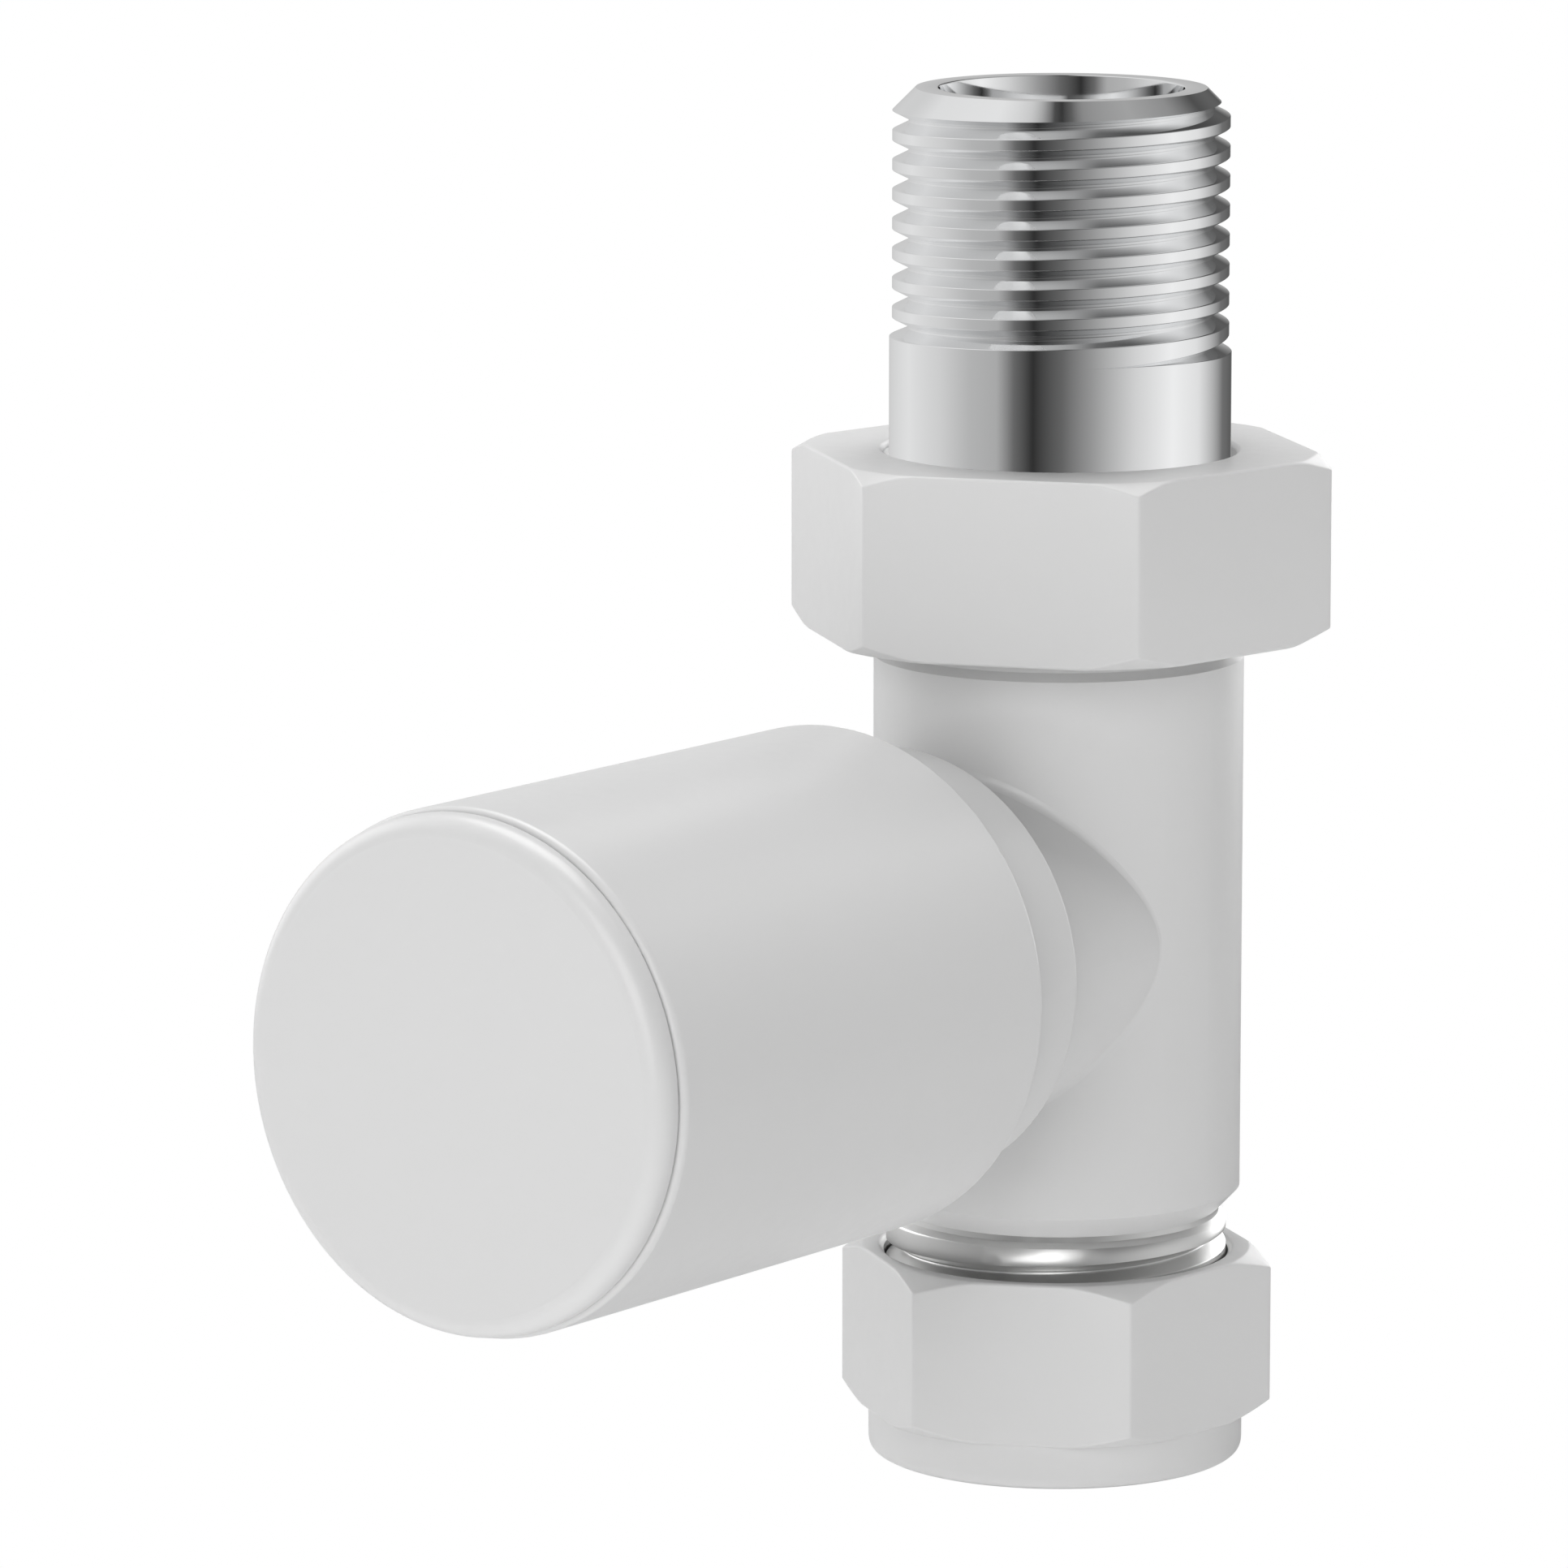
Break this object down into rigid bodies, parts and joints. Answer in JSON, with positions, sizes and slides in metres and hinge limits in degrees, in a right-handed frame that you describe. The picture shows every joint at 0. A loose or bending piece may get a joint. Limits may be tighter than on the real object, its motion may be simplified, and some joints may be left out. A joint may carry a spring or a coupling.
{
  "type": "lockshield valve",
  "caption": "Straight lockshield radiator valve with a compression inlet, a union tail and a round push-on cap over its regulating spindle.",
  "frame": {"origin": "on the flow axis at the mouth of the pipe socket, the lowest point of the compression nut", "axes": "+Z along the flow axis up to the radiator tail, -Y along the regulating branch towards the cap, +X to the right seen from the cap"},
  "size_m": [0.032, 0.0771, 0.0853],
  "materials": {
    "white_body": "satin",
    "white_nut": "satin",
    "white_trim": "satin",
    "white_cap": "satin",
    "chrome": "polished",
    "brass": "machined",
    "spindle_brass": "machined",
    "olive_brass": "machined",
    "black_rubber": "matte",
    "ptfe": "matte",
    "fibre": "matte",
    "nylon": "matte",
    "spring_steel": "oiled"
  },
  "bodies": {
    "valve": {"valve_body": "white_body", "bonnet": "brass", "bonnet_o_ring": "black_rubber", "gland_nut": "brass", "gland_packing": "ptfe", "thrust_washer": "ptfe", "trim_collar": "white_trim"},
    "spindle": {"spindle": "spindle_brass", "spindle_o_rings": "black_rubber"},
    "plug": {"valve_plug": "brass", "plug_washer": "black_rubber", "plug_washer_screw": "spindle_brass"},
    "union_washer": {"union_washer": "fibre"},
    "tail": {"tailpiece": "chrome"},
    "union_nut": {"union_nut": "white_nut"},
    "olive": {"olive": "olive_brass"},
    "compression_nut": {"compression_nut": "white_nut"},
    "cap_liner": {"cap_liner": "nylon", "cap_grip_o_ring": "black_rubber"},
    "cap": {"cap_sleeve": "white_cap", "cap_end_disc": "white_cap", "cap_snap_ring": "spring_steel"}
  },
  "joints": [
    {"name": "spindle_turn", "type": "hinge", "parent": "valve", "child": "spindle", "pos_m": [0, -0.045, 0.0335], "axis": [0, -1, 0], "range_deg": [0, 1080.01]},
    {"name": "plug_travel", "type": "slide", "parent": "valve", "child": "plug", "axis": [0, -1, 0], "range_m": [0, 0.003]},
    {"name": "tail_lift", "type": "slide", "parent": "valve", "child": "union_washer", "axis": [0, 0, 1], "range_m": [0, 0.00726]},
    {"name": "tail_swivel", "type": "hinge", "parent": "union_washer", "child": "tail", "pos_m": [0, 0, 0.059], "axis": [0, 0, 1], "continuous": true},
    {"name": "union_nut_turn", "type": "hinge", "parent": "tail", "child": "union_nut", "pos_m": [0, 0, 0.0574], "axis": [0, 0, 1], "range_deg": [0, 1440]},
    {"name": "olive_drop", "type": "slide", "parent": "valve", "child": "olive", "axis": [0, 0, -1], "range_m": [0, 0.00726]},
    {"name": "compression_nut_turn", "type": "hinge", "parent": "olive", "child": "compression_nut", "pos_m": [0, 0, 0.0065], "axis": [0, 0, -1], "range_deg": [0, 1440]},
    {"name": "cap_pull", "type": "slide", "parent": "valve", "child": "cap_liner", "axis": [0, -1, 0], "range_m": [0, 0.045]},
    {"name": "cap_spin", "type": "hinge", "parent": "cap_liner", "child": "cap", "pos_m": [0, -0.045, 0.0335], "axis": [0, -1, 0], "continuous": true}
  ],
  "couplings": [
    {"joint": "spindle_turn", "follows": "plug_travel", "rad_per_m": 6283.2},
    {"joint": "union_nut_turn", "follows": "tail_lift", "rad_per_m": 3463.2},
    {"joint": "compression_nut_turn", "follows": "olive_drop", "rad_per_m": 3463.2}
  ]
}
